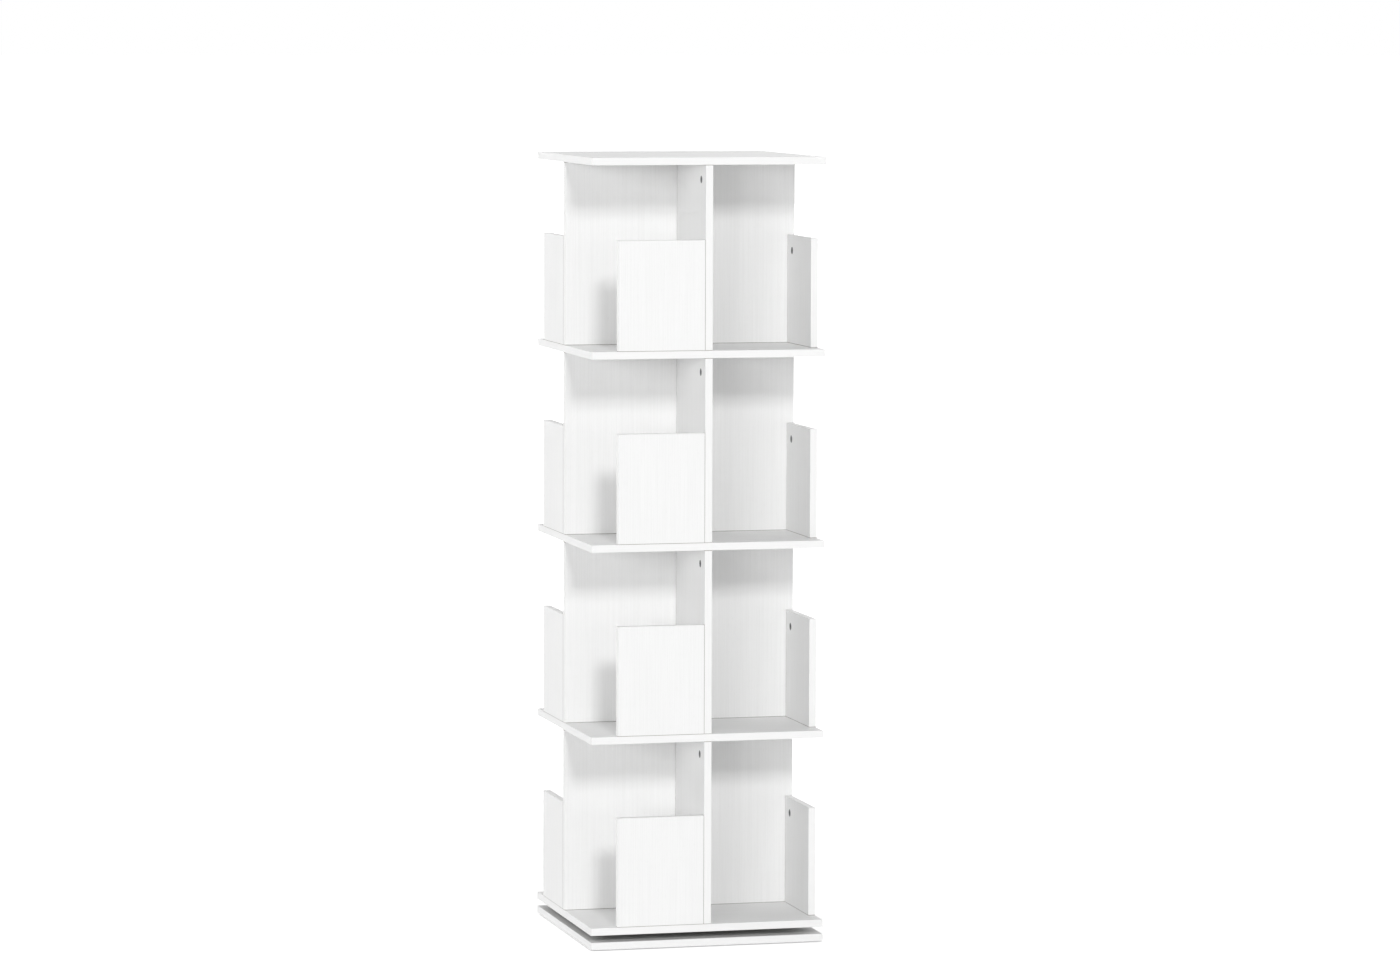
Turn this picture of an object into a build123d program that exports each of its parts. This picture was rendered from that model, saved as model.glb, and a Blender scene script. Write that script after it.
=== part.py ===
from build123d import *
import os

# A floor-standing revolving bookcase: four tiers of four bays on a turntable.
# Millimetres, +Z up, front towards -Y.  The origin is on the floor, on the axis it turns about.
# Seen from above, the two dividers of a tier make a cross.  Each bay has one low book stop on
# its outer edge, and the four stops run round the case like the sails of a pinwheel.

# ---- boards
board = 15.0                  # thickness of the board that everything is cut from
case_side = 480.0             # side of the square base, shelves and top
bay_height = 369.0            # clear height of one tier
tier_count = 4
edge_round = 0.6              # rounding of a board's banded edges
stop_length = 178.0           # a book stop, from its divider to its free end
stop_height = 220.0

# ---- foot glides
glide_diameter = 24.0
glide_height = 2.0
glide_inset = 30.0            # centre of a glide from the edges of the base
glide_edge = 0.5              # rounding of a glide's lower rim

# ---- turntable: two flanged rings, one inside the other, with balls between them
turntable_gap = 14.0          # from the base to the bottom shelf
race_radius = 77.0            # circle of the ball centres
race_gap = 2.0                # between the two rings
race_wall = 8.0               # full-height part of a ring beside the race
flange_width = 15.0
flange_thickness = 6.0
ring_running_gap = 1.0        # between a ring and the board that it turns against
ball_diameter = 6.0
ball_count = 24
ball_play = 0.3               # between a ball and its race or cage
cage_thickness = 1.0
cage_web = 1.5                # cage above and below a ball
ring_screw_count = 8
ring_screw_diameter = 4.0
ring_screw_head = 8.0         # diameter of the countersunk head
screw_recess = 1.2            # depth and arm width of the cross recess in a screw's head
shelf_screw_bite = 10.0       # into the bottom shelf
screw_play = 0.1              # between a screw and its hole, each side
screw_tip_gap = 0.5           # a screw's tip from the far face or the end of its hole

# ---- cam fittings
cam_diameter = 15.0
cam_skin = 2.5                # board left behind a cam
cam_play = 0.2                # between a cam and its bore
cam_sink = 0.2                # cam's face below the board's face
cam_slot_length = 9.0
cam_slot_width = 1.6
cam_slot_depth = 2.2
cam_rise = 30.0               # cam's axis from the end of its divider
cam_inset = 37.5              # cam's axis from the divider's outer edge
stop_cam_reach = 34.0         # cam's axis from the end of its book stop
stop_cam_drop = 31.0          # cam's axis below the stop's top

# ---- cam bolts
bolt_shank = 7.0              # diameters
bolt_neck = 3.6
bolt_head = 6.4
bolt_thread = 5.0
bolt_head_length = 3.0
bolt_play = 0.5               # round the shank and the head
thread_play = 0.05
bolt_skin = 4.0               # board left beyond a thread

# ---- dowels
dowel_diameter = 8.0
dowel_bite = 15.0             # into the end of a board
dowel_skin = 5.0              # board left beyond a blind hole in a face
dowel_play = 0.1
dowel_chamfer = 1.0
dowel_end_gap = 0.5           # from a dowel to the end of its hole
divider_dowel_offset = 120.0  # from the axis
cross_dowel_inset = 90.0      # from the top and the bottom of a divider
stop_dowel_rise = 40.0        # dowel into the divider, above the shelf
stop_dowel_inset = 35.0       # dowel into the shelf, from the stop's free end

# ---- heights and places that follow
base_bottom = glide_height
base_top = base_bottom + board
case_bottom = base_top + turntable_gap
half_case = case_side / 2
half_board = board / 2
half_length = half_case - half_board
race_height = base_top + turntable_gap / 2
ring_height = turntable_gap - ring_running_gap
cam_bore_depth = board - cam_skin
thread_depth = board - bolt_skin
blind_dowel_depth = board - dowel_skin
arm_cam_offset = half_case - cam_inset
stop_line = half_case - half_board
stop_cam_height = stop_height - stop_cam_drop

# The four sides, in quarter turns from the front.
sides = ("front", "right", "rear", "left")
lower_end = (Align.CENTER, Align.CENTER, Align.MIN)


def panel_bottom(level):
    """Underside of a panel: level 0 is the bottom shelf, level tier_count is the top."""
    return case_bottom + level * (board + bay_height)


def tier_floor(tier):
    """Upper face of the shelf that carries tier 1, 2, ..."""
    return panel_bottom(tier - 1) + board


def turned(shape, quarter):
    """A shape drawn at the front, carried round to another side."""
    return Rot(0, 0, 90 * quarter) * shape


def joined(pieces):
    """Separate solids that share one node."""
    solids = []
    for piece in pieces:
        solids.extend(piece.solids())
    return Compound(solids)


def board_piece(size_x, size_y, size_z):
    """A board about its own centre, with rounded edges."""
    blank = Box(size_x, size_y, size_z)
    return fillet(blank.edges(), edge_round)


def bar(diameter, length, start, direction):
    """A round bar or drill, from start along direction."""
    return Plane(origin=start, z_dir=direction) * Cylinder(diameter / 2, length, align=lower_end)


# ------------------------------------------------------------------ fittings


def cam():
    """A cam: its slotted face at z = 0, its body below, and the bolt coming in from +Y."""
    radius = cam_diameter / 2 - cam_play
    body = Cylinder(radius, cam_bore_depth - cam_sink, align=(Align.CENTER, Align.CENTER, Align.MAX))
    slot = Pos(0, 0, -cam_slot_depth / 2) * Box(cam_slot_width, cam_slot_length, cam_slot_depth)
    cross_slot = Pos(0, 0, -cam_slot_depth / 4) * Box(cam_slot_length, cam_slot_width, cam_slot_depth / 2)
    pocket_start = (0, -bolt_head_length / 2 - bolt_play, cam_sink - half_board)
    pocket = bar(bolt_head + bolt_play, cam_diameter, pocket_start, (0, 1, 0))
    return body - slot - cross_slot - pocket


def cam_at(centre, outward, to_bolt):
    """A cam in a board's face: centre on the face, bolt axis along to_bolt."""
    outward = Vector(*outward)
    origin = Vector(*centre) - outward * cam_sink
    x_dir = Vector(*to_bolt).cross(outward)
    return Plane(origin=origin, x_dir=x_dir, z_dir=outward) * cam()


def cam_bore(centre, outward):
    inward = Vector(*outward) * -1
    return bar(cam_diameter, cam_bore_depth, centre, inward)


def bolt_end(reach):
    """Shank, neck and head of a bolt whose cam is reach above z = 0."""
    shank_length = reach - cam_diameter / 2 - bolt_play
    head_start = reach - bolt_head_length / 2
    up = (0, 0, 1)
    shank = bar(bolt_shank, shank_length, (0, 0, 0), up)
    neck = bar(bolt_neck, head_start - shank_length, (0, 0, shank_length), up)
    head = bar(bolt_head, bolt_head_length, (0, 0, head_start), up)
    return shank + neck + head


def screwed_bolt(reach):
    """A cam bolt that is screwed into a board's face at z = 0."""
    tip_length = thread_depth - screw_tip_gap
    tip = bar(bolt_thread, tip_length, (0, 0, 0), (0, 0, -1))
    return bolt_end(reach) + tip


def through_bolt():
    """A double-ended cam bolt through a shelf whose underside is at z = 0."""
    middle = bar(bolt_shank, board, (0, 0, 0), (0, 0, 1))
    upper = Pos(0, 0, board) * bolt_end(cam_rise)
    lower = Rot(180, 0, 0) * bolt_end(cam_rise)
    return middle + upper + lower


def dowel(length):
    """A dowel standing on z = 0 with chamfered ends."""
    pin = Cylinder(dowel_diameter / 2, length, align=lower_end)
    return chamfer(pin.edges().filter_by(GeomType.CIRCLE), dowel_chamfer)


def dowel_hole(depth, start, direction):
    return bar(dowel_diameter + 2 * dowel_play, depth, start, direction)


def thread_hole(start, direction):
    return bar(bolt_thread + 2 * thread_play, thread_depth, start, direction)


def countersunk_screw(length):
    """A screw along +Z with its countersunk head's face at z = 0."""
    shank_radius = ring_screw_diameter / 2
    head_radius = ring_screw_head / 2
    shank = Cylinder(shank_radius, length, align=lower_end)
    head = Cone(head_radius, shank_radius, head_radius - shank_radius, align=lower_end)
    recess = Box(ring_screw_head / 2, screw_recess, screw_recess, align=lower_end)
    return shank + head - recess - Rot(0, 0, 90) * recess


def screw_hole(length):
    """Clearance hole for a countersunk screw along +Z."""
    radius = ring_screw_diameter / 2 + screw_play
    head_radius = ring_screw_head / 2 + screw_play
    hole = Cylinder(radius, length, align=lower_end)
    return hole + Cone(head_radius, radius, head_radius - radius, align=lower_end)


# ------------------------------------------------------------------ base and turntable


def around(shape, radius, count):
    """Copies of a shape on a circle, half a pitch away from the X axis."""
    return [Rot(0, 0, (i + 0.5) * 360 / count) * Pos(radius, 0, 0) * shape for i in range(count)]


outer_race_radius = race_radius + race_gap / 2
inner_race_radius = race_radius - race_gap / 2
base_screw_circle = outer_race_radius + race_wall + flange_width / 2
shelf_screw_circle = inner_race_radius - race_wall - flange_width / 2
base_screw_length = board + flange_thickness - screw_tip_gap
shelf_screw_length = flange_thickness + shelf_screw_bite


def base_panel():
    centre_height = base_bottom + half_board
    panel = Pos(0, 0, centre_height) * board_piece(case_side, case_side, board)
    holes = around(screw_hole(board), base_screw_circle, ring_screw_count)
    return panel - [Pos(0, 0, base_bottom) * hole for hole in holes]


def base_screws():
    screws = around(countersunk_screw(base_screw_length), base_screw_circle, ring_screw_count)
    return joined([Pos(0, 0, base_bottom) * screw for screw in screws])


def foot_glide(side_x, side_y):
    offset = half_case - glide_inset
    glide = Cylinder(glide_diameter / 2, glide_height, align=lower_end)
    rim = glide.edges().filter_by(GeomType.CIRCLE).sort_by(Axis.Z)[0]
    return Pos(side_x * offset, side_y * offset, 0) * fillet(rim, glide_edge)


def tube(outer, inner, height):
    ring = Cylinder(outer, height, align=lower_end)
    return ring - Cylinder(inner, height, align=lower_end)


def race_groove():
    return Torus(race_radius, ball_diameter / 2 + ball_play)


def outer_ring():
    """The fixed ring: it stands on the base, and its flange points outwards."""
    wall_radius = outer_race_radius + race_wall
    wall = tube(wall_radius, outer_race_radius, ring_height)
    flange = tube(wall_radius + flange_width, outer_race_radius, flange_thickness)
    hole = Cylinder(ring_screw_diameter / 2 + screw_play, flange_thickness, align=lower_end)
    holes = around(hole, base_screw_circle, ring_screw_count)
    ring = Pos(0, 0, base_top) * (wall + flange - holes)
    return ring - Pos(0, 0, race_height) * race_groove()


def inner_ring():
    """The turning ring: it hangs from the bottom shelf, and its flange points inwards."""
    wall_radius = inner_race_radius - race_wall
    bore_radius = wall_radius - flange_width
    wall = tube(inner_race_radius, wall_radius, ring_height)
    flange_rise = ring_height - flange_thickness
    flange = Pos(0, 0, flange_rise) * tube(inner_race_radius, bore_radius, flange_thickness)
    hole = Pos(0, 0, flange_rise) * screw_hole(flange_thickness)
    holes = around(hole, shelf_screw_circle, ring_screw_count)
    ring = Pos(0, 0, case_bottom - ring_height) * (wall + flange - holes)
    return ring - Pos(0, 0, race_height) * race_groove()


def shelf_screws():
    start = case_bottom - flange_thickness
    screws = around(countersunk_screw(shelf_screw_length), shelf_screw_circle, ring_screw_count)
    return joined([Pos(0, 0, start) * screw for screw in screws])


def ball_cage():
    """A thin ring in the gap between the two rings, with a round window for each ball."""
    height = ball_diameter + 2 * cage_web
    outer = race_radius + cage_thickness / 2
    inner = race_radius - cage_thickness / 2
    ring = Pos(0, 0, race_height - height / 2) * tube(outer, inner, height)
    window = Rot(0, 90, 0) * Cylinder(ball_diameter / 2 + ball_play, 4 * cage_thickness)
    windows = around(window, race_radius, ball_count)
    return ring - [Pos(0, 0, race_height) * hole for hole in windows]


def balls():
    spheres = around(Sphere(ball_diameter / 2), race_radius, ball_count)
    return joined([Pos(0, 0, race_height) * sphere for sphere in spheres])


# ------------------------------------------------------------------ panels


def stop_dowel_x():
    """Where the dowel under the front stop stands."""
    return -(half_board + stop_length - stop_dowel_inset)


def panel(level):
    """A shelf or the top, drilled for the dividers under and over it and for the stops."""
    floor = panel_bottom(level)
    top = floor + board
    shape = Pos(0, 0, floor + half_board) * board_piece(case_side, case_side, board)
    cuts = []
    for quarter in range(4):
        if level == 0:
            bolt = thread_hole((0, -arm_cam_offset, top), (0, 0, -1))
            pin = dowel_hole(blind_dowel_depth, (0, -divider_dowel_offset, top), (0, 0, -1))
        elif level == tier_count:
            bolt = thread_hole((0, -arm_cam_offset, floor), (0, 0, 1))
            pin = dowel_hole(blind_dowel_depth, (0, -divider_dowel_offset, floor), (0, 0, 1))
        else:
            bolt = bar(bolt_shank + 2 * bolt_play, board, (0, -arm_cam_offset, floor), (0, 0, 1))
            pin = dowel_hole(board, (0, -divider_dowel_offset, floor), (0, 0, 1))
        cuts += [turned(bolt, quarter), turned(pin, quarter)]
        if level < tier_count:
            stop_pin = dowel_hole(blind_dowel_depth, (stop_dowel_x(), -stop_line, top), (0, 0, -1))
            cuts.append(turned(stop_pin, quarter))
    if level == 0:
        pilot_depth = shelf_screw_bite + screw_tip_gap
        pilot = Cylinder(ring_screw_diameter / 2 + screw_play, pilot_depth, align=lower_end)
        cuts += [Pos(0, 0, floor) * hole for hole in around(pilot, shelf_screw_circle, ring_screw_count)]
    return shape - cuts


# ------------------------------------------------------------------ one tier, its floor at z = 0


def cam_side(quarter):
    """Which face of an arm its cams are in: -1 as on the front arm, +1 on the other face.

    The long divider has all its cams in its rear face, so only the right arm differs."""
    return 1 if quarter == 1 else -1


def cam_places(quarter):
    """The two cams of an arm drawn at the front: centre, outward normal, way to the bolt."""
    side = cam_side(quarter)
    face_x = side * half_board
    upper = ((face_x, -arm_cam_offset, bay_height - cam_rise), (side, 0, 0), (0, 0, 1))
    lower = ((face_x, -arm_cam_offset, cam_rise), (side, 0, 0), (0, 0, -1))
    return [upper, lower]


def arm_cuts(quarter):
    """Holes in one arm of the cross, from the shelves, the cams and the arm's book stop."""
    end_pin = dowel_bite + dowel_end_gap
    bolt_hole = bolt_shank + 2 * bolt_play
    cuts = [cam_bore(centre, outward) for centre, outward, to_bolt in cam_places(quarter)]
    cuts.append(bar(bolt_hole, cam_rise, (0, -arm_cam_offset, 0), (0, 0, 1)))
    cuts.append(bar(bolt_hole, cam_rise, (0, -arm_cam_offset, bay_height), (0, 0, -1)))
    cuts.append(dowel_hole(end_pin, (0, -divider_dowel_offset, 0), (0, 0, 1)))
    cuts.append(dowel_hole(end_pin, (0, -divider_dowel_offset, bay_height), (0, 0, -1)))
    cuts.append(thread_hole((-half_board, -stop_line, stop_cam_height), (1, 0, 0)))
    cuts.append(dowel_hole(blind_dowel_depth, (-half_board, -stop_line, stop_dowel_rise), (1, 0, 0)))
    return [turned(cut, quarter) for cut in cuts]


def cross_dowel_cuts():
    """Holes for the dowels that run from the front half divider to the rear one."""
    length = board + 2 * (dowel_bite + dowel_end_gap)
    heights = (cross_dowel_inset, bay_height - cross_dowel_inset)
    return [dowel_hole(length, (0, -length / 2, height), (0, 1, 0)) for height in heights]


def long_divider():
    """The board that runs right through the case from the left side to the right side."""
    shape = Pos(0, 0, bay_height / 2) * board_piece(case_side, board, bay_height)
    return shape - arm_cuts(1) - arm_cuts(3) - cross_dowel_cuts()


def half_divider(quarter):
    """A board from the long divider out to the front (0) or the rear (2)."""
    centre = Pos(0, -(half_board + half_length / 2), bay_height / 2)
    shape = centre * board_piece(board, half_length, bay_height)
    return turned(shape, quarter) - arm_cuts(quarter) - cross_dowel_cuts()


def stop_cam_place():
    """The cam of the front stop: centre, outward normal, way to the bolt."""
    centre = (-(half_board + stop_cam_reach), -(half_case - board), stop_cam_height)
    return centre, (0, 1, 0), (1, 0, 0)


def book_stop():
    """The low front board that keeps books in the front left bay."""
    end_x = -half_board
    centre = Pos(end_x - stop_length / 2, -stop_line, stop_height / 2)
    shape = centre * board_piece(stop_length, board, stop_height)
    cam_centre, outward, to_bolt = stop_cam_place()
    end_pin = dowel_bite + dowel_end_gap
    bolt_start = (end_x, -stop_line, stop_cam_height)
    cuts = [cam_bore(cam_centre, outward)]
    cuts.append(bar(bolt_shank + 2 * bolt_play, stop_cam_reach, bolt_start, (-1, 0, 0)))
    cuts.append(dowel_hole(end_pin, (end_x, -stop_line, stop_dowel_rise), (-1, 0, 0)))
    cuts.append(dowel_hole(end_pin, (stop_dowel_x(), -stop_line, 0), (0, 0, 1)))
    return shape - cuts


def tier_cams():
    """Two cams in each arm of the cross and one in each book stop."""
    cams = []
    for quarter in range(4):
        places = cam_places(quarter) + [stop_cam_place()]
        cams += [turned(cam_at(*place), quarter) for place in places]
    return joined(cams)


def stop_bolts():
    """The bolts that stand in the dividers and hold the stops."""
    start = (-half_board, -stop_line, stop_cam_height)
    bolt = Plane(origin=start, z_dir=(-1, 0, 0)) * screwed_bolt(stop_cam_reach)
    return joined([turned(bolt, quarter) for quarter in range(4)])


def stop_dowels():
    """Per stop, one dowel into the divider and one into the shelf."""
    sunk = blind_dowel_depth - dowel_end_gap
    pin = dowel(sunk + dowel_bite)
    side_pin = Plane(origin=(-half_board + sunk, -stop_line, stop_dowel_rise), z_dir=(-1, 0, 0)) * pin
    floor_pin = Pos(stop_dowel_x(), -stop_line, -sunk) * pin
    pins = [turned(piece, quarter) for quarter in range(4) for piece in (side_pin, floor_pin)]
    return joined(pins)


def cross_dowels():
    """Long dowels through the long divider, one end in each half divider."""
    length = board + 2 * dowel_bite
    heights = (cross_dowel_inset, bay_height - cross_dowel_inset)
    pins = [Plane(origin=(0, -length / 2, height), z_dir=(0, 1, 0)) * dowel(length) for height in heights]
    return joined(pins)


# ------------------------------------------------------------------ fittings of all tiers


def in_each_tier(group):
    return joined([Pos(0, 0, tier_floor(tier)) * group for tier in range(1, tier_count + 1)])


def on_each_arm(shape, offset, height):
    placed = Pos(0, -offset, height) * shape
    return [turned(placed, quarter) for quarter in range(4)]


def end_bolts():
    """Single bolts: up from the bottom shelf and down from the top."""
    bolt = screwed_bolt(cam_rise)
    bolts = on_each_arm(bolt, arm_cam_offset, tier_floor(1))
    bolts += on_each_arm(Rot(180, 0, 0) * bolt, arm_cam_offset, panel_bottom(tier_count))
    return joined(bolts)


def shelf_bolts():
    """Double-ended bolts through the shelves between the tiers."""
    bolts = []
    for level in range(1, tier_count):
        bolts += on_each_arm(through_bolt(), arm_cam_offset, panel_bottom(level))
    return joined(bolts)


def end_dowels():
    sunk = blind_dowel_depth - dowel_end_gap
    pin = dowel(sunk + dowel_bite)
    pins = on_each_arm(pin, divider_dowel_offset, tier_floor(1) - sunk)
    pins += on_each_arm(pin, divider_dowel_offset, panel_bottom(tier_count) - dowel_bite)
    return joined(pins)


def shelf_dowels():
    pin = dowel(board + 2 * dowel_bite)
    pins = []
    for level in range(1, tier_count):
        pins += on_each_arm(pin, divider_dowel_offset, panel_bottom(level) - dowel_bite)
    return joined(pins)


# ------------------------------------------------------------------ all nodes


def panel_name(level):
    if level == 0:
        return "bottom_shelf"
    if level == tier_count:
        return "top_panel"
    return f"shelf_{level + 1}"


nodes = {
    "base_panel": base_panel(),
    "turntable_outer_ring": outer_ring(),
    "base_ring_screws": base_screws(),
    "turntable_ball_cage": ball_cage(),
    "turntable_balls": balls(),
    "turntable_inner_ring": inner_ring(),
    "shelf_ring_screws": shelf_screws(),
    "end_cam_bolts": end_bolts(),
    "shelf_cam_bolts": shelf_bolts(),
    "stop_cam_bolts": in_each_tier(stop_bolts()),
    "end_dowels": end_dowels(),
    "shelf_dowels": shelf_dowels(),
    "stop_dowels": in_each_tier(stop_dowels()),
    "cross_dowels": in_each_tier(cross_dowels()),
}

for front_back, side_y in (("front", -1), ("rear", 1)):
    for left_right, side_x in (("left", -1), ("right", 1)):
        nodes[f"foot_glide_{front_back}_{left_right}"] = foot_glide(side_x, side_y)

for level in range(tier_count + 1):
    nodes[panel_name(level)] = panel(level)

tier_pieces = {
    "long_divider": long_divider(),
    "front_divider": half_divider(0),
    "rear_divider": half_divider(2),
    "cams": tier_cams(),
}
for quarter, side in enumerate(sides):
    tier_pieces[f"{side}_book_stop"] = turned(book_stop(), quarter)

for tier in range(1, tier_count + 1):
    for name, shape in tier_pieces.items():
        nodes[f"{name}_{tier}"] = Pos(0, 0, tier_floor(tier)) * shape

os.makedirs("parts", exist_ok=True)
for name, shape in nodes.items():
    export_step(shape, f"parts/{name}.step")
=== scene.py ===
"""Looks of the revolving bookcase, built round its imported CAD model.

Every CAD solid stays as it is and gets a procedural finish.  Metres, +Z up, front towards -Y.
"""

import math

import bpy
from mathutils import Matrix, Vector


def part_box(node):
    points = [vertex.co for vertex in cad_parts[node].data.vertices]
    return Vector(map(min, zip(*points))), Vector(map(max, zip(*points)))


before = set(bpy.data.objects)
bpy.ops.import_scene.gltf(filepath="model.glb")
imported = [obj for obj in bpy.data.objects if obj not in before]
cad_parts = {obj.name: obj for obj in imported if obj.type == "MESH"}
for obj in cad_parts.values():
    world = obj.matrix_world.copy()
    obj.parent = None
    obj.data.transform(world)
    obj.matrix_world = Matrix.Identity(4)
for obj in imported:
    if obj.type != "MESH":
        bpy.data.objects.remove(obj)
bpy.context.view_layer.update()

MM = 0.001
X, Y, Z = 0, 1, 2
AXES = (X, Y, Z)
TIERS = (1, 2, 3, 4)

# ---- camera, a pinhole without shift
SENSOR_WIDTH = 36.0           # millimetres, as the lens
LENS = 142.5
CAMERA_PLACE = (-2.7819, -10.8828, 1.8768)
CAMERA_YAW = 14.5578          # degrees to the right of +Y
CAMERA_TILT = 4.8681          # degrees below the horizon
CAMERA_ROLL = 0.1638          # degrees, its right side up

# ---- light
SKY_LIGHT = 0.35              # strength of the world where it lights the object
SKY_SEEN = 1.0                # its strength where it is seen, which is plain white
LAMP_AIM = (0.0, 0.0, 0.7)
LAMP_DISTANCE = 40.0          # so far that every tier gets nearly the same light
# Each lamp: azimuth from the front and elevation, width and height as they look from the object,
# all in degrees, and its light on a surface that faces it, where 1 shows a colour as it is written.
LAMPS = {
    "key": (-3.0, 24.5, 8.0, 8.0, 0.335),
    "front_low": (15.0, 4.0, 30.0, 7.0, 0.03),
    "left_front": (-40.0, 8.0, 12.0, 10.0, 0.18),
    "left_front_low": (-28.0, 4.0, 10.0, 7.0, 0.105),
    "left": (-115.0, 35.0, 30.0, 30.0, 0.21),
    "left_low": (-105.0, 4.0, 30.0, 7.0, 0.09),
    "right": (90.0, 15.0, 30.0, 28.0, 0.25),
    "rear_left": (-160.0, 12.0, 30.0, 22.0, 0.18),
    "rear_right": (150.0, 12.0, 30.0, 22.0, 0.26),
}
FLOOR_SIDE = 400.0
FLOOR_COLOUR = (0.93, 0.93, 0.93)
# Where it is seen, the floor also glows: weakly near the object, so that its shadow stays, and as
# plain white further out.  Distances in metres, and the glow at each.
FLOOR_GLOW_REACH = (0.8, 4.0)
FLOOR_GLOW = (0.40, 1.0)

# ---- patterns
# A span is the value at which a mask starts and the one at which it is full.  A pair of tones or
# roughnesses is what a pattern runs between.
WIDE_SPAN = (0.30, 0.70)      # nearly the whole range of a noise
MIDDLE_SPAN = (0.35, 0.65)
PLASTIC_IOR = 1.5

# ---- boards
BOARD_TONES = ((0.815, 0.816, 0.813), (0.850, 0.851, 0.849))
BAND_TONES = ((0.825, 0.826, 0.823), (0.850, 0.851, 0.848))
# Painted shade: the grey sheet on lower faces, which darkens the gap under the bottom shelf.
GAP_SHADE_TONES = ((0.24, 0.24, 0.23), (0.30, 0.30, 0.29))
CORE_TONES = ((0.20, 0.12, 0.06), (0.52, 0.36, 0.20))
PORE_TONE = (0.70, 0.70, 0.69)
SEAM_TONE = (0.52, 0.51, 0.49)
# Painted shade of the joints, on the arris of sawn ends.
JOINT_SHADE_TONE = (0.24, 0.23, 0.21)
PORE_STRENGTH = 0.45          # how far the tone goes over to the pores', and to the seams'
SEAM_STRENGTH = 0.6

BOARD_GLOSS = 0.06            # specular level, where 0.5 is plain plastic
FACE_ROUGHNESS = (0.55, 0.65)
PORE_ROUGHNESS = 0.12         # added in the pores
BAND_ROUGHNESS = 0.58
CORE_ROUGHNESS = 0.92

# Scales of the patterns along the grain, across it and through the board, per metre.
FIGURE_SCALES = (2, 45, 90)
STREAK_SCALES = (5, 420, 200)
PORE_SCALES = (70, 1500, 400)
BAND_SCALES = (9, 9, 900)
CHIP_SCALES = (420, 420, 900)
FIGURE_SHARE = 0.15           # of the broad figure in the face's pattern, the rest being streaks
PORE_SPAN = (0.60, 0.72)      # only the peaks of a noise are pores

# Heights in units of BOARD_RELIEF.
BOARD_RELIEF = 0.04 * MM
STREAK_HEIGHT = 0.8
PORE_HEIGHT = -1.0
BAND_HEIGHT = 0.5
SEAM_DEPTH = 1.5
CHIP_HEIGHT = 4.0

FACE_SPAN = (0.6, 0.8)        # how squarely a face looks along the thin axis
GAP_SHADE_SPAN = (-0.7, -0.9)    # the same for the lower face, where shade is painted
BAND_THICKNESS = 0.8 * MM
SEAM_SPAN = (0.2 * MM, 0.08 * MM)     # from the middle of the line between band and face
JOINT_SHADE_SPAN = (1.0 * MM, 0.7 * MM)     # painted shade on the arris of a sawn end, where it meets the next board
SAWN_SPAN = (0.1 * MM, 0.07 * MM)     # how far round its arris a sawn end still shows raw core
SKIN_SPAN = (0.2 * MM, 0.3 * MM)      # depth of the printed skin, below which the core is raw

# ---- fittings
# Far darker than bare zinc: painted shade of the cams' bores and slots on their colour.
ZINC_AND_SHADE_TONES = ((0.11, 0.11, 0.115), (0.18, 0.18, 0.185))
ZINC_ROUGHNESS = (0.38, 0.52)
ALUMINIUM_TONES = ((0.58, 0.59, 0.60), (0.68, 0.69, 0.70))
ALUMINIUM_ROUGHNESS = (0.25, 0.45)
STEEL_TONES = ((0.46, 0.48, 0.52), (0.60, 0.60, 0.60))
STEEL_ROUGHNESS = (0.24, 0.38)
BALL_TONES = ((0.62, 0.62, 0.64), (0.70, 0.70, 0.72))
BALL_ROUGHNESS = (0.05, 0.12)
NYLON_TONES = ((0.66, 0.64, 0.57), (0.74, 0.72, 0.66))
GLIDE_TONES = ((0.55, 0.55, 0.53), (0.62, 0.62, 0.60))
PLASTIC_ROUGHNESS = (0.45, 0.60)
BEECH_TONES = ((0.46, 0.29, 0.15), (0.60, 0.42, 0.25))
BEECH_ROUGHNESS = (0.60, 0.75)
FLECK_TONE = (0.30, 0.17, 0.08)       # of the dark flecks in the beech
FLECK_STRENGTH = 0.5
FLECK_SPAN = (0.58, 0.70)

# Scales of their patterns along X, Y and Z, per metre, and of the lathe lines along radius and Z.
LATHE_SCALE = 3200
SCRATCH_SCALES = (2400, 2400, 300)
BEECH_SCALES = (500, 500, 60)
FLECK_SCALES = (2600, 2600, 500)
NYLON_GRIT = 0.6 * MM         # size of the grains in a moulded surface
GLIDE_GRIT = 0.4 * MM

FINE_RELIEF = 0.01 * MM       # of lathe lines and scratches
GRIT_RELIEF = 0.03 * MM       # of cast and moulded surfaces
WOOD_RELIEF = 0.05 * MM


# ------------------------------------------------------------------ node trees


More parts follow.
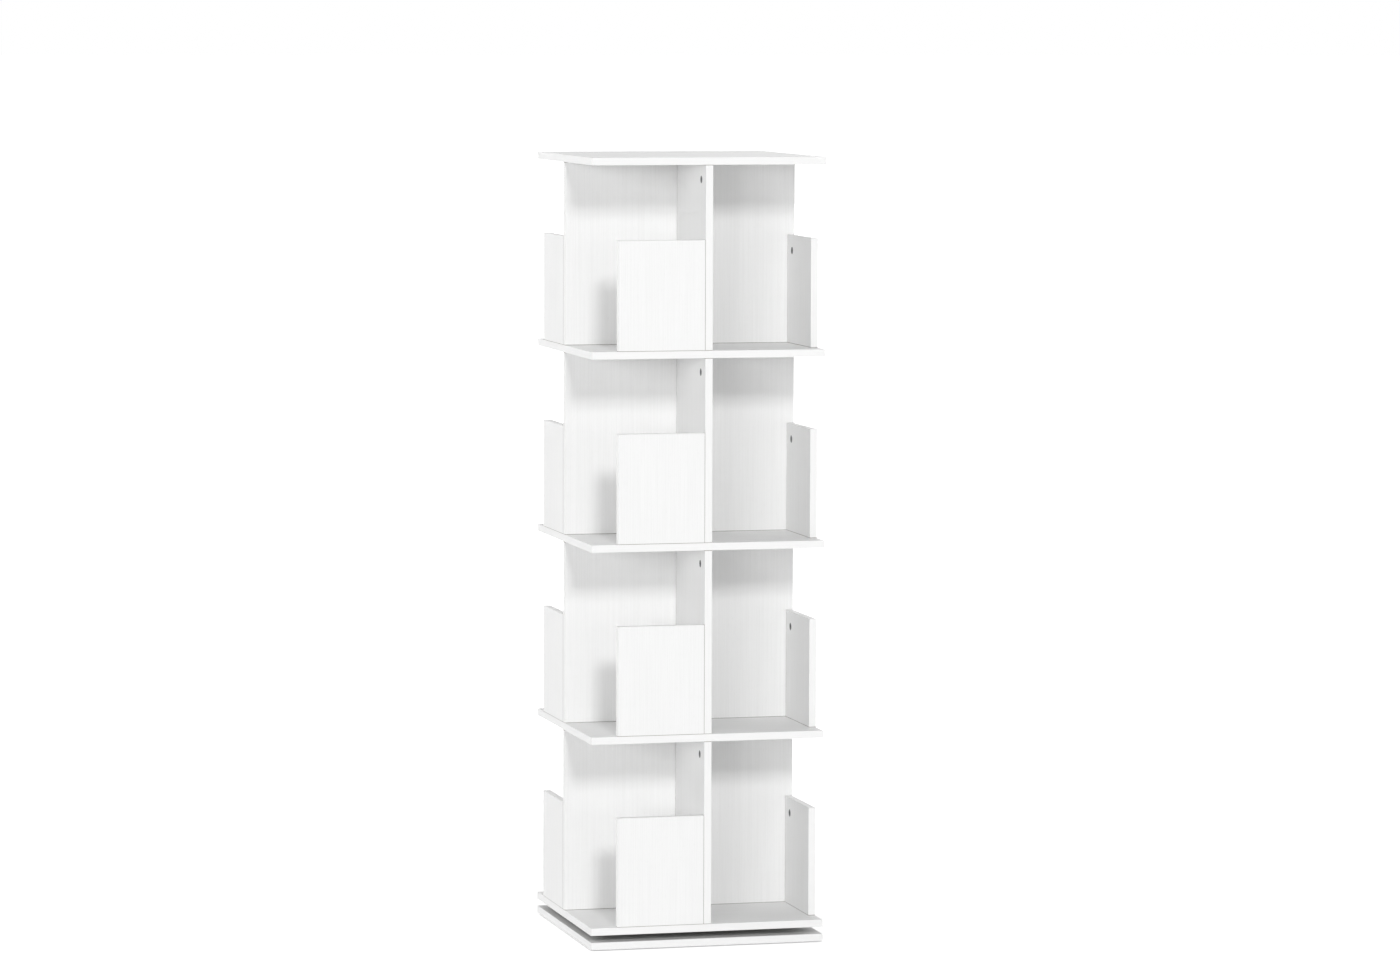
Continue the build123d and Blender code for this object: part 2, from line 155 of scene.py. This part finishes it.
class Tree:
    """A node tree, with short names for the nodes that the finishes use."""

    def __init__(self, tree):
        self.tree = tree

    def node(self, kind, inputs=(), **settings):
        made = self.tree.nodes.new(kind)
        for name, value in settings.items():
            setattr(made, name, value)
        for key, value in dict(inputs).items():
            self.feed(made.inputs[key], value)
        return made

    def feed(self, socket, value):
        """Links a socket to another one, or sets it to a number, vector or colour."""
        if isinstance(value, bpy.types.NodeSocket):
            self.tree.links.new(value, socket)
        elif socket.type == "RGBA":
            socket.default_value = (*value, 1.0)
        else:
            socket.default_value = value

    def math(self, operation, *values):
        return self.node("ShaderNodeMath", enumerate(values), operation=operation).outputs[0]

    def split(self, vector):
        return self.node("ShaderNodeSeparateXYZ", {0: vector}).outputs

    def scaled(self, vector, factors):
        made = self.node("ShaderNodeVectorMath", {0: vector, 1: factors}, operation="MULTIPLY")
        return made.outputs[0]

    def noise(self, vector, scale=1.0, detail=2.0, roughness=0.6, distortion=0.0):
        inputs = {
            "Vector": vector,
            "Scale": scale,
            "Detail": detail,
            "Roughness": roughness,
            "Distortion": distortion,
        }
        return self.node("ShaderNodeTexNoise", inputs).outputs[0]

    def cells(self, vector):
        """Random colour of each cell of a Voronoi pattern."""
        made = self.node("ShaderNodeTexVoronoi", {"Vector": vector, "Scale": 1.0})
        return made.outputs["Color"]

    def step(self, value, start, end, low=0.0, high=1.0):
        """Runs smoothly from low to high as value goes from start to end."""
        inputs = {0: value, 1: start, 2: end, 3: low, 4: high}
        made = self.node("ShaderNodeMapRange", inputs, interpolation_type="SMOOTHSTEP")
        return made.outputs[0]

    # A mix node has a set of sockets for numbers and one for colours, with the same names, so
    # they go by their places.

    def mix(self, factor, a, b):
        """From colour a to colour b."""
        return self.node("ShaderNodeMix", {0: factor, 6: a, 7: b}, data_type="RGBA").outputs[2]

    def blend(self, factor, a, b):
        """From number a to number b."""
        return self.node("ShaderNodeMix", {0: factor, 2: a, 3: b}, data_type="FLOAT").outputs[0]

    def toned(self, pattern, tones, span=MIDDLE_SPAN):
        """From the first tone to the second as the pattern crosses the span."""
        return self.mix(self.step(pattern, *span), *tones)

    def largest(self, masks):
        total = 0.0
        for mask in masks:
            total = self.math("MAXIMUM", total, mask)
        return total

    def bump(self, height, distance):
        inputs = {"Strength": 1.0, "Distance": distance, "Height": height}
        return self.node("ShaderNodeBump", inputs).outputs[0]

    def seen_directly(self):
        """1 for camera, glossy and transmission rays, 0 for rays that carry light to the object."""
        path = self.node("ShaderNodeLightPath")
        total = path.outputs["Is Camera Ray"]
        for name in ("Is Glossy Ray", "Is Transmission Ray"):
            total = self.math("MAXIMUM", total, path.outputs[name])
        return total


class Finish(Tree):
    """A material's node tree, which ends in one Principled shader."""

    def __init__(self, name):
        self.material = bpy.data.materials.new(name)
        self.material.use_nodes = True
        super().__init__(self.material.node_tree)
        self.tree.nodes.clear()
        self.shader = self.node("ShaderNodeBsdfPrincipled")
        self.node("ShaderNodeOutputMaterial", {"Surface": self.shader.outputs[0]})
        place = self.node("ShaderNodeTexCoord")
        self.position = place.outputs["Object"]
        self.normal = place.outputs["Normal"]
        self.generated = place.outputs["Generated"]

    def set(self, **inputs):
        """Sets or links inputs of the shader; an underscore stands for a space."""
        for name, value in inputs.items():
            self.feed(self.shader.inputs[name.replace("_", " ")], value)


# ------------------------------------------------------------------ boards


# A board's ends, as axis and side.
LEFT, RIGHT = (X, -1), (X, 1)
FRONT, REAR = (Y, -1), (Y, 1)
TOP = (Z, 1)
ALL_ROUND = [LEFT, RIGHT, FRONT, REAR]


class Board(Finish):
    """Finish of a board, with masks for the places on it.

    size is the board's, thin the axis of its thickness, and grain the axis that its grain
    follows.  Its ends are (axis, side): those in banded carry an edge band, and the others along
    the grain and across it are sawn."""

    def __init__(self, name, size, thin, grain, banded):
        super().__init__(name)
        across = next(axis for axis in AXES if axis not in (thin, grain))
        self.size = size
        self.drawn_axes = (grain, across, thin)
        self.banded = banded
        ends = [(axis, side) for axis in (grain, across) for side in (-1, 1)]
        self.sawn = [end for end in ends if end not in banded]
        self.share = self.split(self.generated)
        self.along_thin = self.split(self.normal)[thin]

    def drawn(self, scales):
        """The place on the board, scaled along the grain, across it and through the board."""
        factors = dict(zip(self.drawn_axes, scales))
        return self.scaled(self.position, tuple(factors[axis] for axis in AXES))

    def edge_distance(self, axis):
        """Distance from the nearer end of the board along one axis."""
        from_middle = self.math("ABSOLUTE", self.math("SUBTRACT", self.share[axis], 0.5))
        return self.math("MULTIPLY", self.math("SUBTRACT", 0.5, from_middle), self.size[axis])

    def end_distance(self, axis, side):
        share = self.share[axis]
        from_end = self.math("SUBTRACT", 1.0, share) if side > 0 else share
        return self.math("MULTIPLY", from_end, self.size[axis])

    def depth(self):
        """Distance from the nearest of the board's six sides."""
        depths = [self.edge_distance(axis) for axis in AXES]
        return self.math("MINIMUM", self.math("MINIMUM", depths[X], depths[Y]), depths[Z])

    def band_seam(self, axis, side):
        """1 on the thin line where an edge band ends on the board's face."""
        distance = self.end_distance(axis, side)
        offset = self.math("ABSOLUTE", self.math("SUBTRACT", distance, BAND_THICKNESS))
        return self.step(offset, *SEAM_SPAN)

    def band_seams(self):
        return self.largest(self.band_seam(*end) for end in self.banded)

    def near_sawn_ends(self, span):
        return self.largest(self.step(self.end_distance(*end), *span) for end in self.sawn)


def board_finish(name, size, thin, grain, banded, paints_gap_shade):
    """White melamine-faced board with edge bands.

    On a board that paints the gap shade, a grey sheet on its lower face is painted shade, which
    darkens the gap under the bottom shelf."""
    f = Board(name, size, thin, grain, banded)
    on_face = f.step(f.math("ABSOLUTE", f.along_thin), *FACE_SPAN)
    in_core = f.step(f.depth(), *SKIN_SPAN)

    # face: broad figure, streaks and short pores, all drawn out along the grain
    broad = f.noise(f.drawn(FIGURE_SCALES), roughness=0.5, distortion=0.6)
    streak = f.noise(f.drawn(STREAK_SCALES), detail=3)
    pore = f.step(f.noise(f.drawn(PORE_SCALES)), *PORE_SPAN)
    streak_part = f.math("MULTIPLY", streak, 1 - FIGURE_SHARE)
    figure = f.math("MULTIPLY_ADD", broad, FIGURE_SHARE, streak_part)
    face = f.toned(figure, BOARD_TONES, WIDE_SPAN)
    face = f.mix(f.math("MULTIPLY", pore, PORE_STRENGTH), face, PORE_TONE)
    # painted shade: a grey sheet on the lower face darkens the gap under the bottom shelf
    if paints_gap_shade:
        painted_gap_shade = f.toned(f.noise(f.position, scale=90, detail=4, roughness=0.7), GAP_SHADE_TONES)
        face = f.mix(f.step(f.along_thin, *GAP_SHADE_SPAN), face, painted_gap_shade)

    # edge band: fine streaks along its length
    band_streak = f.noise(f.drawn(BAND_SCALES), detail=3)
    band = f.toned(band_streak, BAND_TONES)

    # the seam between band and face, and painted shade on the arris of the ends that have no band,
    # where they meet the next board
    seam = f.band_seams()
    skin = f.mix(on_face, band, face)
    skin = f.mix(f.math("MULTIPLY", seam, SEAM_STRENGTH), skin, SEAM_TONE)
    # painted shade where a sawn end meets the next board
    skin = f.mix(f.near_sawn_ends(JOINT_SHADE_SPAN), skin, JOINT_SHADE_TONE)

    # raw particle board on the sawn ends and inside the drillings
    in_core = f.math("MAXIMUM", in_core, f.near_sawn_ends(SAWN_SPAN))
    chip = f.split(f.cells(f.drawn(CHIP_SCALES)))[X]
    core = f.mix(chip, *CORE_TONES)

    face_rough = f.step(f.noise(f.position, scale=14, detail=3), *WIDE_SPAN, *FACE_ROUGHNESS)
    face_rough = f.math("ADD", face_rough, f.math("MULTIPLY", pore, PORE_ROUGHNESS))
    skin_rough = f.blend(on_face, BAND_ROUGHNESS, face_rough)

    streak_height = f.math("MULTIPLY", streak, STREAK_HEIGHT)
    face_height = f.math("MULTIPLY_ADD", pore, PORE_HEIGHT, streak_height)
    skin_height = f.blend(on_face, f.math("MULTIPLY", band_streak, BAND_HEIGHT), face_height)
    skin_height = f.math("SUBTRACT", skin_height, f.math("MULTIPLY", seam, SEAM_DEPTH))
    height = f.blend(in_core, skin_height, f.math("MULTIPLY", chip, CHIP_HEIGHT))

    f.set(
        Base_Color=f.mix(in_core, skin, core),
        Roughness=f.blend(in_core, skin_rough, CORE_ROUGHNESS),
        IOR=PLASTIC_IOR,
        Specular_IOR_Level=BOARD_GLOSS,
        Normal=f.bump(height, BOARD_RELIEF),
    )
    return f.material


def dress(nodes, material):
    """Gives CAD nodes their material, on all their faces."""
    for node in nodes:
        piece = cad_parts[node]
        piece.data.materials.clear()
        piece.data.materials.append(material)


def dress_boards(nodes, thin, grain, banded, paints_gap_shade=False):
    """The boards of one call are alike, so they share a finish."""
    low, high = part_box(nodes[0])
    name = f"melamine_{nodes[0]}"
    dress(nodes, board_finish(name, high - low, thin, grain, banded, paints_gap_shade))


def each_tier(name):
    return [f"{name}_{tier}" for tier in TIERS]


# Their lower faces carry painted shade, which darkens the gap under the bottom shelf.
dress_boards(["base_panel", "bottom_shelf"], thin=Z, grain=X, banded=ALL_ROUND, paints_gap_shade=True)
dress_boards(["shelf_2", "shelf_3", "shelf_4", "top_panel"], thin=Z, grain=X, banded=ALL_ROUND)
dress_boards(each_tier("long_divider"), thin=Y, grain=Z, banded=[LEFT, RIGHT])
dress_boards(each_tier("front_divider"), thin=X, grain=Z, banded=[FRONT])
dress_boards(each_tier("rear_divider"), thin=X, grain=Z, banded=[REAR])
dress_boards(each_tier("front_book_stop"), thin=Y, grain=Z, banded=[LEFT, TOP])
dress_boards(each_tier("right_book_stop"), thin=X, grain=Z, banded=[FRONT, TOP])
dress_boards(each_tier("rear_book_stop"), thin=Y, grain=Z, banded=[RIGHT, TOP])
dress_boards(each_tier("left_book_stop"), thin=X, grain=Z, banded=[REAR, TOP])


# ------------------------------------------------------------------ fittings


def zinc_with_painted_shade():
    f = Finish("zinc_with_painted_shade")
    mottle = f.noise(f.position, scale=260, detail=4)
    grit = f.noise(f.position, scale=2600)
    f.set(
        # tones far darker than bare zinc: painted shade of the bore and slot
        Base_Color=f.toned(mottle, ZINC_AND_SHADE_TONES),
        Metallic=1.0,
        Roughness=f.step(mottle, *WIDE_SPAN, *ZINC_ROUGHNESS),
        Normal=f.bump(grit, GRIT_RELIEF),
    )
    return f.material


def turned_aluminium():
    """Fine lathe lines round the axis that the case turns about."""
    f = Finish("turned_aluminium")
    place = f.split(f.position)
    squares = [f.math("MULTIPLY", place[axis], place[axis]) for axis in (X, Y)]
    radius = f.math("SQRT", f.math("ADD", *squares))
    across = f.math("MULTIPLY", radius, LATHE_SCALE)
    upward = f.math("MULTIPLY", place[Z], LATHE_SCALE)
    lathe = f.noise(f.node("ShaderNodeCombineXYZ", {X: across, Z: upward}).outputs[0])
    stain = f.noise(f.position, scale=30, detail=3)
    smooth, rough = ALUMINIUM_ROUGHNESS
    f.set(
        Base_Color=f.toned(stain, ALUMINIUM_TONES),
        Metallic=1.0,
        Roughness=f.math("MULTIPLY_ADD", lathe, rough - smooth, smooth),
        Normal=f.bump(lathe, FINE_RELIEF),
    )
    return f.material


def plated_steel():
    f = Finish("plated_steel")
    cloud = f.noise(f.position, scale=180, detail=3)
    scratch = f.noise(f.scaled(f.position, SCRATCH_SCALES))
    f.set(
        Base_Color=f.toned(cloud, STEEL_TONES),
        Metallic=1.0,
        Roughness=f.step(cloud, *WIDE_SPAN, *STEEL_ROUGHNESS),
        Normal=f.bump(scratch, FINE_RELIEF),
    )
    return f.material


def polished_steel():
    f = Finish("polished_steel")
    haze = f.noise(f.position, scale=500, detail=3)
    f.set(
        Base_Color=f.mix(haze, *BALL_TONES),
        Metallic=1.0,
        Roughness=f.step(haze, *WIDE_SPAN, *BALL_ROUGHNESS),
    )
    return f.material


def moulded_plastic(name, tones, grit_size):
    f = Finish(name)
    cloud = f.noise(f.position, scale=60, detail=3)
    grit = f.noise(f.position, scale=1 / grit_size)
    f.set(
        Base_Color=f.toned(cloud, tones, WIDE_SPAN),
        Roughness=f.step(cloud, *WIDE_SPAN, *PLASTIC_ROUGHNESS),
        IOR=PLASTIC_IOR,
        Normal=f.bump(grit, GRIT_RELIEF),
    )
    return f.material


def beech():
    f = Finish("beech")
    grain = f.noise(f.scaled(f.position, BEECH_SCALES), detail=4, distortion=0.4)
    fleck = f.step(f.noise(f.scaled(f.position, FLECK_SCALES)), *FLECK_SPAN)
    wood = f.toned(grain, BEECH_TONES, WIDE_SPAN)
    f.set(
        Base_Color=f.mix(f.math("MULTIPLY", fleck, FLECK_STRENGTH), wood, FLECK_TONE),
        Roughness=f.step(grain, *WIDE_SPAN, *BEECH_ROUGHNESS),
        Normal=f.bump(grain, WOOD_RELIEF),
    )
    return f.material


rings = ["turntable_outer_ring", "turntable_inner_ring"]
bolts = ["end_cam_bolts", "shelf_cam_bolts", "stop_cam_bolts"]
screws = ["base_ring_screws", "shelf_ring_screws"]
glides = [f"foot_glide_{end}_{side}" for end in ("front", "rear") for side in ("left", "right")]
dowels = ["end_dowels", "shelf_dowels", "stop_dowels", "cross_dowels"]

dress(each_tier("cams"), zinc_with_painted_shade())
dress(rings, turned_aluminium())
dress(bolts + screws, plated_steel())
dress(["turntable_balls"], polished_steel())
dress(["turntable_ball_cage"], moulded_plastic("nylon", NYLON_TONES, NYLON_GRIT))
dress(glides, moulded_plastic("glide_plastic", GLIDE_TONES, GLIDE_GRIT))
dress(dowels, beech())


# ------------------------------------------------------------------ stage, light and camera


def add_to_scene(name, data):
    piece = bpy.data.objects.new(name, data)
    bpy.context.scene.collection.objects.link(piece)
    return piece


def white_world():
    """Even light from all round, and a white background."""
    world = bpy.data.worlds.new("white_studio")
    world.use_nodes = True
    w = Tree(world.node_tree)
    levels = {"Value": w.seen_directly(), "To Min": SKY_LIGHT, "To Max": SKY_SEEN}
    background = w.tree.nodes["Background"]
    w.feed(background.inputs["Color"], (1.0, 1.0, 1.0))
    w.feed(background.inputs["Strength"], w.node("ShaderNodeMapRange", levels).outputs[0])
    bpy.context.scene.world = world


def floor_finish():
    """A matt pale floor that keeps the object's shadow and is white where nothing shades it."""
    material = bpy.data.materials.new("studio_floor")
    material.use_nodes = True
    f = Tree(material.node_tree)
    f.tree.nodes.clear()
    matt = f.node("ShaderNodeBsdfDiffuse", {"Color": FLOOR_COLOUR})
    place = f.node("ShaderNodeTexCoord").outputs["Object"]
    distance = f.node("ShaderNodeVectorMath", {0: place}, operation="LENGTH").outputs["Value"]
    spread = f.step(distance, *FLOOR_GLOW_REACH, *FLOOR_GLOW)
    strength = f.math("MULTIPLY", f.seen_directly(), spread)
    glow = f.node("ShaderNodeEmission", {"Strength": strength})
    both = f.node("ShaderNodeAddShader", {0: matt.outputs[0], 1: glow.outputs[0]})
    f.node("ShaderNodeOutputMaterial", {"Surface": both.outputs[0]})
    return material


def floor():
    half = FLOOR_SIDE / 2
    mesh = bpy.data.meshes.new("studio_floor")
    corners = [(-half, -half, 0), (half, -half, 0), (half, half, 0), (-half, half, 0)]
    mesh.from_pydata(corners, [], [(0, 1, 2, 3)])
    mesh.materials.append(floor_finish())
    add_to_scene("studio_floor", mesh)


def direction(azimuth, elevation):
    """Unit vector from the object; azimuth 0 is the front, 90 the right."""
    a = math.radians(azimuth)
    e = math.radians(elevation)
    return Vector((math.sin(a) * math.cos(e), -math.cos(a) * math.cos(e), math.sin(e)))


def seen_size(angle):
    """Metres that fill an angle in degrees at the lamps' distance."""
    return 2 * LAMP_DISTANCE * math.tan(math.radians(angle / 2))


def soft_lamp(name, azimuth, elevation, width, height, level):
    lamp = bpy.data.lights.new(name, "AREA")
    lamp.shape = "RECTANGLE"
    lamp.size = seen_size(width)
    lamp.size_y = seen_size(height)
    lamp.energy = level * (math.pi * LAMP_DISTANCE) ** 2
    holder = add_to_scene(name, lamp)
    away = direction(azimuth, elevation)
    holder.location = Vector(LAMP_AIM) + away * LAMP_DISTANCE
    holder.rotation_mode = "QUATERNION"
    holder.rotation_quaternion = away.to_track_quat("Z", "Y")


def camera():
    yaw = math.radians(CAMERA_YAW)
    tilt = math.radians(CAMERA_TILT)
    roll = math.radians(CAMERA_ROLL)
    level = math.cos(tilt)
    ahead = Vector((math.sin(yaw) * level, math.cos(yaw) * level, -math.sin(tilt)))
    right = Vector((math.cos(yaw), -math.sin(yaw), 0))
    up = right.cross(ahead)
    side = right * math.cos(roll) + up * math.sin(roll)
    top = up * math.cos(roll) - right * math.sin(roll)
    turn = Matrix((side, top, -ahead)).transposed()
    lens = bpy.data.cameras.new("camera")
    lens.lens = LENS
    lens.sensor_width = SENSOR_WIDTH
    holder = add_to_scene("camera", lens)
    holder.matrix_world = Matrix.Translation(CAMERA_PLACE) @ turn.to_4x4()
    bpy.context.scene.camera = holder


white_world()
floor()
for lamp_name, lamp_values in LAMPS.items():
    soft_lamp(lamp_name, *lamp_values)
camera()
bpy.context.scene.view_settings.view_transform = "Standard"
